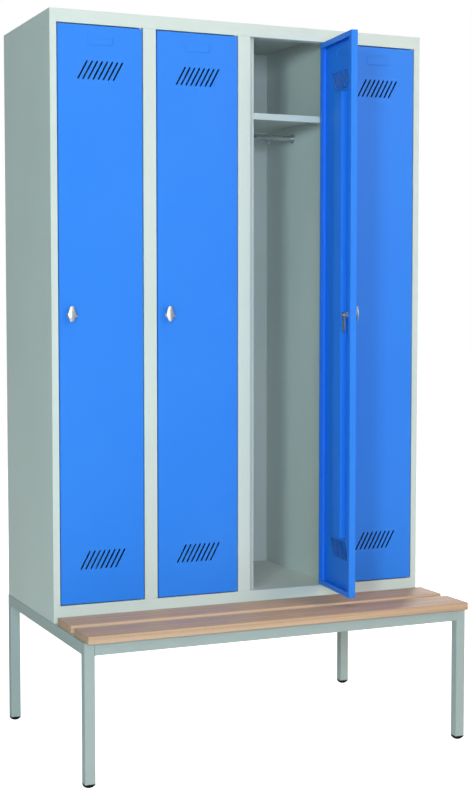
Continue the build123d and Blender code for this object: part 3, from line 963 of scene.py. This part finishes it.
@dataclass
class TurningGrip:
    """Chromed grip of the latch: ridged finger cap, padlock lug, hub, spindle and square end.

    The origin is on the latch axis in the plane of the door, with -Y towards the user.
    """

    base: float = -0.0028
    hub_radius: float = 0.010
    hub_height: float = 0.0035
    core_radius: float = 0.007
    lug_height: float = 0.0070
    lug_half: float = 0.0025
    lug_top: float = 0.0202
    eye_radius: float = 0.0027
    eye_reach: float = 0.0150
    cap_top: float = 0.025
    cap_bottom: float = -0.020
    cap_half: float = 0.013
    top_share: float = 0.46
    bottom_share: float = 0.35
    ridge_half: float = 0.0015
    ridge_height: float = 0.004
    edge_height: float = 0.0018
    corner_round: float = 0.003
    edge_round: float = 0.0006
    spindle_radius: float = 0.005
    spindle_end: float = 0.026
    square_half: float = 0.0035
    square_end: float = 0.0325

    def build(self) -> None:
        """Models one grip and copies it to each door."""
        pattern = self.cap().join(self.lug(), self.hub(), self.spindle()).smooth()
        for number in DOORS:
            copy = pattern.copied(f"turning_grip_{number}", joint_place(f"latch_{number}_turn"))
            copy.fit(f"latch_{number}", CHROME, [f"latch_knob_{number}"])
        pattern.discard()

    def cap(self) -> Workpiece:
        """Shapes the diamond-shaped finger cap with its ridge and sloping sides.

        Returns:
            The cap.
        """
        back = self.base - self.hub_height - self.lug_height
        front = back - self.ridge_height
        piece = Workpiece.block("cap_pattern", (-self.cap_half, front, self.cap_bottom),
                                (self.cap_half, back, self.cap_top))
        piece.cut_loops((0.0,), (0, 0, 1))
        for height, share in ((self.cap_top, self.top_share), (self.cap_bottom, self.bottom_share)):
            piece.stretch((share, 1.0, 1.0),
                          test=lambda s, height=height: abs(s.middle.z - height) < NEAR)
        piece.cut_loops((-self.ridge_half, self.ridge_half), (1, 0, 0))
        piece.shift((0, self.ridge_height - self.edge_height, 0),
                    lambda s: s.middle.y < front + NEAR and abs(s.middle.x) > self.ridge_half + NEAR)
        piece.bevel(self.corner_round, lambda s: abs(s.run.y) > ALONG, steps=4)
        return piece.bevel(self.edge_round, lambda s: abs(s.normal.y) > SLIGHT and s.middle.y < back - NEAR
                           and not self.on_slope(s), steps=2)

    @staticmethod
    def on_slope(spot: Spot) -> bool:
        """Says whether an edge only parts a slope of the cap in two."""
        return abs(spot.run.x) > MOSTLY and abs(spot.normal.z) < SLIGHT

    def lug(self) -> Workpiece:
        """Shapes the lug under the cap with its padlock eye.

        Returns:
            The lug.
        """
        back = self.base - self.hub_height
        front = back - self.lug_height
        piece = Workpiece.block("lug_pattern", (-self.lug_half, front, 0),
                                (self.lug_half, back, self.lug_top))
        piece.bevel(self.edge_round, lambda s: abs(s.run.y) > ALONG and s.middle.z > self.eye_reach)
        middle = (back + front) / 2
        return piece.cut(Workpiece.bar("eye_tool", self.eye_radius, (-self.hub_radius, middle, self.eye_reach),
                                       (self.hub_radius, middle, self.eye_reach), sides=32))

    def hub(self) -> Workpiece:
        """Shapes the round hub and the core between it and the cap.

        Returns:
            The hub with the core.
        """
        top = self.base - self.hub_height
        piece = Workpiece.bar("hub_pattern", self.hub_radius, (0, self.base, 0), (0, top, 0), sides=64)
        piece.bevel(self.edge_round, lambda s: s.middle.y < top + NEAR)
        return piece.join(Workpiece.bar("core_pattern", self.core_radius, (0, top, 0),
                                        (0, top - self.lug_height, 0), sides=48))

    def spindle(self) -> Workpiece:
        """Shapes the spindle with its square end and end chamfer.

        Returns:
            The spindle.
        """
        end, half = self.spindle_end, self.square_half
        piece = Workpiece.bar("spindle_pattern", self.spindle_radius, (0, self.base, 0), (0, end, 0), sides=40)
        square = Workpiece.block("square_pattern", (-half, end, -half), (half, self.square_end, half))
        return piece.join(square.bevel(self.edge_round, lambda s: s.middle.y > end + NEAR, steps=2))


@dataclass
class LatchHousing:
    """Chromed round plate with its padlock ear, the threaded barrel behind it and the fixing nut.

    The origin is on the latch axis in the plane of the door, with -Y towards the user.
    """

    plate_radius: float = 0.012
    plate_height: float = 0.0025
    plate_round: float = 0.0012
    rim: float = 0.0014
    rim_depth: float = -0.0004
    ear_low: Triple = (0.0103, -0.0130, -0.0058)
    ear_high: Triple = (0.0198, 0.0, -0.0028)
    ear_slope: Triple = (0.012, -0.0025, 0.0)
    ear_slope_normal: Triple = (5.0, 7.8, 0.0)
    ear_nose: Triple = (0.0198, -0.0105, 0.0)
    ear_nose_normal: Triple = (2.5, -1.8, 0.0)
    root_low: Triple = (0.003, -0.0025, -0.0118)
    root_high: Triple = (0.012, 0.0, -0.0028)
    eye_radius: float = 0.0027
    eye_place: Pair = (0.0150, -0.0098)
    edge_round: float = 0.0005
    barrel_radius: float = 0.0085
    barrel_end: float = 0.0255
    bore_wall: float = 0.0034
    bore_depth: float = 0.004
    thread_from: float = 0.0062
    thread_pitch: float = 0.0015
    thread_share: float = 0.945
    nut_flats: float = 0.022
    nut_low: float = 0.0008
    nut_high: float = 0.0048

    def build(self) -> None:
        """Models one housing and copies it to each door."""
        pattern = self.plate().join(self.ear(), self.root(), self.barrel(), self.nut()).smooth()
        for number in DOORS:
            copy = pattern.copied(f"latch_housing_{number}", joint_place(f"latch_{number}_turn"))
            copy.fit(f"door_{number}", CHROME, [f"lock_housing_{number}"])
        pattern.discard()

    def plate(self) -> Workpiece:
        """Shapes the round plate with a raised rim.

        Returns:
            The plate.
        """
        top = -self.plate_height
        piece = Workpiece.bar("plate_pattern", self.plate_radius, (0, 0, 0), (0, top, 0), sides=72)
        piece.bevel(self.plate_round, lambda s: s.middle.y < top + NEAR, steps=4)
        return piece.inset(self.rim, self.rim_depth, lambda s: s.normal.y < -SQUARE)

    def ear(self) -> Workpiece:
        """Shapes the ear with its sloping outer side, blunt nose and padlock hole.

        Returns:
            The ear.
        """
        piece = Workpiece.block("ear_pattern", self.ear_low, self.ear_high)
        piece.trim(self.ear_slope, self.ear_slope_normal)
        piece.trim(self.ear_nose, self.ear_nose_normal)
        piece.bevel(self.edge_round, lambda s: abs(s.normal.z) > MOSTLY and abs(s.run.z) < ACROSS, steps=2)
        x, y = self.eye_place
        return piece.cut(Workpiece.bar("eye_tool", self.eye_radius,
                                       (x, y, self.ear_low[2] - self.plate_height),
                                       (x, y, self.ear_high[2] + self.plate_height), sides=32))

    def root(self) -> Workpiece:
        """Shapes the foot of the ear on the plate."""
        piece = Workpiece.block("root_pattern", self.root_low, self.root_high)
        return piece.bevel(self.edge_round, lambda s: s.middle.y < -self.edge_round
                           or abs(s.run.y) > ALONG, steps=2)

    def barrel(self) -> Workpiece:
        """Shapes the threaded barrel with its open end.

        Returns:
            The barrel.
        """
        end = self.barrel_end
        piece = Workpiece.bar("barrel_pattern", self.barrel_radius, (0, 0, 0), (0, end, 0), sides=40)
        turns = int((end - self.thread_from) / self.thread_pitch)
        places = [self.thread_from + step * self.thread_pitch / 2 for step in range(2 * turns)]
        piece.cut_loops(places, (0, 1, 0))
        piece.stretch((self.thread_share, 1.0, self.thread_share),
                      test=lambda s: any(abs(s.middle.y - valley) < NEAR for valley in places[::2]))
        piece.inset(self.bore_wall, 0.0, lambda s: s.normal.y > SQUARE)
        return piece.extrude((0, -self.bore_depth, 0), lambda s: s.normal.y > SQUARE
                             and s.middle.y > end - NEAR and s.middle.xz.length < self.bore_wall / 10)

    def nut(self) -> Workpiece:
        """Shapes the six-sided nut with its chamfers.

        Returns:
            The nut.
        """
        corner = self.nut_flats / 2 / cos(pi / 6)
        piece = Workpiece.bar("nut_pattern", corner, (0, self.nut_low, 0), (0, self.nut_high, 0), sides=6)
        return piece.bevel(self.edge_round, lambda s: abs(s.run.y) < ACROSS, steps=2)


@dataclass
class Latches:
    """The rotary latches: grip, housing and the zinc plated cam."""

    def build(self) -> None:
        """Builds grips and housings, and dresses the cams."""
        TurningGrip().build()
        LatchHousing().build()
        ZINC.dress(*(f"latch_cam_{number}" for number in DOORS))


@dataclass
class CoatRails:
    """Tube rails with a flanged socket at each end.

    The sizes of the tube come from the frame.
    """

    tube_radius: float = 0.009
    sleeve_radius: float = 0.0115
    sleeve_length: float = 0.010
    flange_radius: float = 0.015
    flange_thickness: float = 0.002
    edge_round: float = 0.0008

    def build(self) -> None:
        """Models the tube and sockets of each compartment."""
        for number in DOORS:
            low, high = corners(f"coat_rail_{number}")
            y, z = (low.y + high.y) / 2, (low.z + high.z) / 2
            tube = Workpiece.bar(f"rail_and_sockets_{number}", self.tube_radius,
                                 (low.x + self.flange_thickness, y, z),
                                 (high.x - self.flange_thickness, y, z), sides=48)
            tube.join(self.socket(Vector((low.x, y, z)), 1), self.socket(Vector((high.x, y, z)), -1))
            tube.smooth().fit("cabinet", ZINC, [f"coat_rail_{number}"])

    def socket(self, wall: Vector, way: int) -> Workpiece:
        """Shapes a socket on a wall.

        Args:
            wall: Middle of its seat on the wall.
            way: Which way along X it points.

        Returns:
            The socket.
        """
        out = Vector((way, 0.0, 0.0))
        parts = []
        for name, radius, start, end in (
                ("flange", self.flange_radius, 0.0, self.flange_thickness),
                ("sleeve", self.sleeve_radius, self.flange_thickness / 2, self.sleeve_length)):
            part = Workpiece.bar(name, radius, wall + out * start, wall + out * end, sides=56)
            parts.append(part.bevel(self.edge_round, lambda s, end=end: (s.middle - wall).dot(out) > end - NEAR))
        return parts[0].join(parts[1])


@dataclass
class CoatHooks:
    """Hooks with a ring that slides along the rail.

    The origin is on the axis of the rail, in the middle of the hook's width.
    """

    ring_radius: float = 0.0108
    ring_half: float = 0.0015
    half_width: float = 0.003
    bar_half: float = 0.00225
    neck: float = -0.0108
    bend_height: float = -0.0238
    bend_radius: float = 0.010
    tip: float = 0.009
    ball: float = 0.0024
    bend_steps: int = 14
    profile_sides: int = 20

    def build(self) -> None:
        """Models one hook and copies it to each place."""
        pattern = self.ring().join(self.bar(), self.ball_end()).smooth()
        for number in DOORS:
            axis = sum(corners(f"coat_rail_{number}"), Vector()) / 2
            for side in ("left", "right"):
                low, high = corners(f"coat_hook_{number}_{side}")
                place = Matrix.Translation(((low.x + high.x) / 2, axis.y, axis.z))
                copy = pattern.copied(f"sliding_hook_{number}_{side}", place)
                copy.fit(f"hook_{number}_{side}", ZINC, [f"coat_hook_{number}_{side}"])
        pattern.discard()

    def ring(self) -> Workpiece:
        """Shapes the ring round the rail, widened to the width of the hook.

        Returns:
            The ring.
        """
        clear_selection()
        bpy.ops.mesh.primitive_torus_add(major_radius=self.ring_radius, minor_radius=self.ring_half,
                                         major_segments=48, minor_segments=self.profile_sides,
                                         rotation=(0, pi / 2, 0))
        return Workpiece.taken("ring_pattern").stretch((self.half_width / self.ring_half, 1.0, 1.0))

    def bar(self) -> Workpiece:
        """Draws the bar down from the ring, round the bend and up to its tip.

        Returns:
            The bar.
        """
        clear_selection()
        bpy.ops.mesh.primitive_circle_add(vertices=self.profile_sides, radius=self.bar_half, fill_type="NGON",
                                          location=(0, 0, self.neck))
        piece = Workpiece.taken("bar_pattern")
        piece.stretch((self.half_width / self.bar_half, 1.0, 1.0), (0, 0, self.neck))
        piece.extrude((0, 0, self.bend_height - self.neck))
        piece.edit(Pick.FACES, lambda s: s.middle.z < self.bend_height + NEAR and abs(s.normal.z) > ALONG,
                   bpy.ops.mesh.spin, steps=self.bend_steps, angle=-pi,
                   center=(0, -self.bend_radius, self.bend_height), axis=(1, 0, 0))
        end = -2 * self.bend_radius
        return piece.extrude((0, 0, self.tip), lambda s: abs(s.middle.y - end) < 10 * NEAR
                             and abs(s.middle.z - self.bend_height) < NEAR and abs(s.normal.z) > ALONG)

    def ball_end(self) -> Workpiece:
        """Shapes the rounded tip.

        Returns:
            The tip.
        """
        clear_selection()
        middle = (0, -2 * self.bend_radius, self.bend_height + self.tip)
        bpy.ops.mesh.primitive_uv_sphere_add(segments=24, ring_count=14, radius=self.ball, location=middle)
        return Workpiece.taken("ball_pattern").stretch((self.half_width / self.ball, 1.0, 1.0), middle)


@dataclass
class BenchSlats:
    """Beech boards of the bench, with rounded long edges and softened ends."""

    long_round: float = 0.004
    end_round: float = 0.0012

    def build(self) -> None:
        """Models each board in the place of its node."""
        for node in ("front_slat", "rear_slat"):
            board = Workpiece.block(f"{node}_board", *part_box(node))
            board.bevel(self.long_round, lambda s: abs(s.run.x) > ALONG, steps=5)
            board.bevel(self.end_round, lambda s: abs(s.run.x) < ACROSS, steps=2)
            board.smooth().fit("cabinet", BEECH_WOOD, [node])
        ZINC.dress("slat_screws")


@dataclass
class BenchFrame:
    """Welded tube frame with its foot caps and the bolts of the cabinet."""

    bead_radius: float = 0.0021
    bead_margin: float = 0.003
    bead_ripple: float = 0.0022
    ripple_share: float = 0.82
    legs: tuple[str, ...] = ("front_left_leg", "front_right_leg", "rear_left_leg", "rear_right_leg")
    cross_beams: tuple[str, ...] = ("front_beam", "cabinet_beam", "rear_beam")
    depth_beams: tuple[str, ...] = ("left_beam", "right_beam", "middle_beam")
    tube_wall: float = 0.002
    plate_sunk: float = 0.0006
    plate_thickness: float = 0.003
    plate_corner: float = 0.001
    seam_width: float = 0.0018
    seam_depth: float = 0.0004

    def build(self) -> None:
        """Dresses the tubes, lays the weld beads under the joints and closes the leg tops."""
        FRAME_GREY.dress(*self.cross_beams, *self.depth_beams, *self.legs)
        FOOT_BLACK.dress("leg_caps")
        ZINC.dress("frame_bolts")
        self.welds()
        self.leg_tops()

    def leg_tops(self) -> None:
        """Closes the top of each leg with a plate set into the tube."""
        plates = []
        for node in self.legs:
            low, high = corners(node)
            top = high.z - self.plate_sunk
            plate = Workpiece.block("leg_top_plates", (low.x + self.tube_wall, low.y + self.tube_wall,
                                                       top - self.plate_thickness),
                                    (high.x - self.tube_wall, high.y - self.tube_wall, top))
            plate.bevel(self.plate_corner, lambda s: abs(s.run.z) > ALONG)
            plates.append(plate.inset(self.seam_width, self.seam_depth, lambda s: s.normal.z > ALONG))
        plates[0].join(*plates[1:]).smooth().fit("cabinet", FRAME_GREY)

    def welds(self) -> None:
        """Lays a rippled bead under each end of each beam."""
        beads = []
        for axis, nodes in ((0, self.cross_beams), (1, self.depth_beams)):
            for node in nodes:
                low, high = corners(node)
                for place in (low[axis], high[axis]):
                    start, end = low.copy(), Vector((high.x, high.y, low.z))
                    start[axis] = end[axis] = place
                    start[1 - axis] += self.bead_margin
                    end[1 - axis] -= self.bead_margin
                    beads.append(self.bead(start, end))
        whole = beads[0].join(*beads[1:]).smooth()
        whole.obj.name = "frame_weld_beads"
        whole.fit("cabinet", FRAME_GREY)

    def bead(self, start: Vector, end: Vector) -> Workpiece:
        """Shapes one rippled bead.

        Args:
            start: Middle of one end.
            end: Middle of the other end.

        Returns:
            The bead.
        """
        run = (end - start).normalized()
        piece = Workpiece.bar("bead", self.bead_radius, start, end, sides=14)
        count = int((end - start).length / self.bead_ripple)
        first = start.dot(run)
        places = [first + step * self.bead_ripple for step in range(1, count)]
        piece.cut_loops(places, run)
        for valley in places[::2]:
            piece.stretch((self.ripple_share,) * 3, start + run * (valley - first),
                          lambda s, valley=valley: abs(s.middle.dot(run) - valley) < NEAR)
        return piece


@dataclass(frozen=True)
class SoftLight:
    """An oblong soft light that points at the cabinet."""

    name: str
    place: Triple
    size: Pair
    power: float
    colour: Triple
    aim: Triple = (0.0, 0.0, 1.2)
    in_gloss: bool = True


@dataclass
class Studio:
    """Pale floor, soft lights and the camera of the photograph."""

    lights: tuple[SoftLight, ...] = (
        SoftLight("left_softbox", (-4.4, -5.6, 2.25), (0.9, 0.9), 160.0, (0.73, 1.03, 1.03), in_gloss=False),
        SoftLight("far_left_softbox", (-7.2, -1.8, 2.2), (1.5, 1.5), 29.0, (0.58, 0.97, 1.10)),
        SoftLight("front_left_softbox", (-1.9, -6.9, 1.9), (1.6, 1.6), 115.0, (0.84, 1.0, 1.22)),
        SoftLight("right_softbox", (4.9, -6.2, 3.0), (2.0, 3.6), 70.0, (1.18, 1.0, 0.80)),
        SoftLight("high_right_softbox", (4.2, -5.0, 5.5), (3.0, 3.0), 84.0, (1.18, 1.0, 0.80)),
        SoftLight("top_softbox", (0.0, -2.0, 6.5), (4.0, 2.0), 68.0, (1.2, 1.0, 0.78)),
        SoftLight("back_softbox", (3.4, 5.6, 3.6), (3.0, 3.0), 190.0, (0.96, 1.0, 1.0)),
    )
    floor_side: float = 60.0
    camera_place: Triple = (-1.8509, -4.2471, 1.3102)
    camera_yaw: float = 0.4133
    camera_pitch: float = 0.0615
    focal_pixels: float = 1513.98
    image_height: float = 800.0
    sensor: float = 36.0
    surround: float = 0.13
    mirrored: float = 0.16
    floor_glow: float = 0.93
    floor_tint: Triple = (0.86, 0.86, 0.86)
    surround_tint: Triple = (0.96, 1.02, 1.02)
    white: Triple = (1.0, 1.0, 1.0)
    far_clip: float = 100.0

    def build(self) -> None:
        """Sets up floor, surroundings, lights and camera."""
        self.floor()
        self.surroundings()
        for light in self.lights:
            self.hang(light)
        self.camera()
        view = bpy.context.scene.view_settings
        view.view_transform = "Standard"
        view.look = "None"

    def floor(self) -> None:
        """Lays a plain pale floor."""
        clear_selection()
        bpy.ops.mesh.primitive_plane_add(size=self.floor_side, location=(0, 0, 0))
        floor = Workpiece.taken("studio_floor").obj
        paint = bpy.data.materials.new("studio_floor_paint")
        board = NodeBoard.blank(paint)
        plain = board.add("ShaderNodeBsdfDiffuse", {"Color": rgba(self.floor_tint)})
        seen = board.add("ShaderNodeLightPath").outputs["Is Camera Ray"]
        glow = board.add("ShaderNodeEmission", {"Color": rgba(self.white), "Strength": board.math(
            "MULTIPLY", seen, self.floor_glow)})
        both = board.add("ShaderNodeAddShader", {0: plain.outputs[0], 1: glow.outputs[0]})
        board.add("ShaderNodeOutputMaterial", {"Surface": both.outputs[0]})
        floor.data.materials.append(paint)

    def surroundings(self) -> None:
        """Makes a white background that lights the object more softly than it shows."""
        world = bpy.data.worlds.new("studio_world")
        bpy.context.scene.world = world
        board = NodeBoard.blank(world)
        seen = board.add("ShaderNodeBackground", {"Color": rgba(self.white), "Strength": 1.0})
        ray = board.add("ShaderNodeLightPath").outputs
        power = board.spread(ray["Is Glossy Ray"], 0.0, 1.0, self.surround, self.mirrored)
        shed = board.add("ShaderNodeBackground", {"Color": rgba(self.surround_tint), "Strength": power})
        mixed = board.add("ShaderNodeMixShader", {0: ray["Is Camera Ray"], 1: shed.outputs[0],
                                                  2: seen.outputs[0]})
        board.add("ShaderNodeOutputWorld", {"Surface": mixed.outputs[0]})

    @staticmethod
    def hang(light: SoftLight) -> None:
        """Hangs one soft light.

        Args:
            light: Its name, place, size, power and tint.
        """
        data = bpy.data.lights.new(light.name, "AREA")
        data.shape = "RECTANGLE"
        data.size, data.size_y = light.size
        data.color = light.colour
        data.energy = light.power
        lamp = bpy.data.objects.new(light.name, data)
        bpy.context.scene.collection.objects.link(lamp)
        lamp.location = light.place
        lamp.visible_glossy = light.in_gloss
        lamp.rotation_euler = (Vector(light.aim) - Vector(light.place)).to_track_quat("-Z", "Y").to_euler()

    def camera(self) -> None:
        """Sets the camera where the photograph was taken from."""
        data = bpy.data.cameras.new("photo_camera")
        data.sensor_width = self.sensor
        data.lens = self.focal_pixels * self.sensor / self.image_height
        data.clip_end = self.far_clip
        eye = bpy.data.objects.new("photo_camera", data)
        bpy.context.scene.collection.objects.link(eye)
        eye.location = self.camera_place
        eye.rotation_euler = (pi / 2 - self.camera_pitch, 0.0, -self.camera_yaw)
        bpy.context.scene.camera = eye


def main() -> None:
    """Builds the looks of the locker."""
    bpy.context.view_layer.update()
    for assembly in (Studio(), Carcass(), Doors(), Latches(), CoatRails(), CoatHooks(), BenchFrame(),
                     BenchSlats()):
        assembly.build()
        log.info("built %s", type(assembly).__name__)


if __name__ == "__main__":
    main()
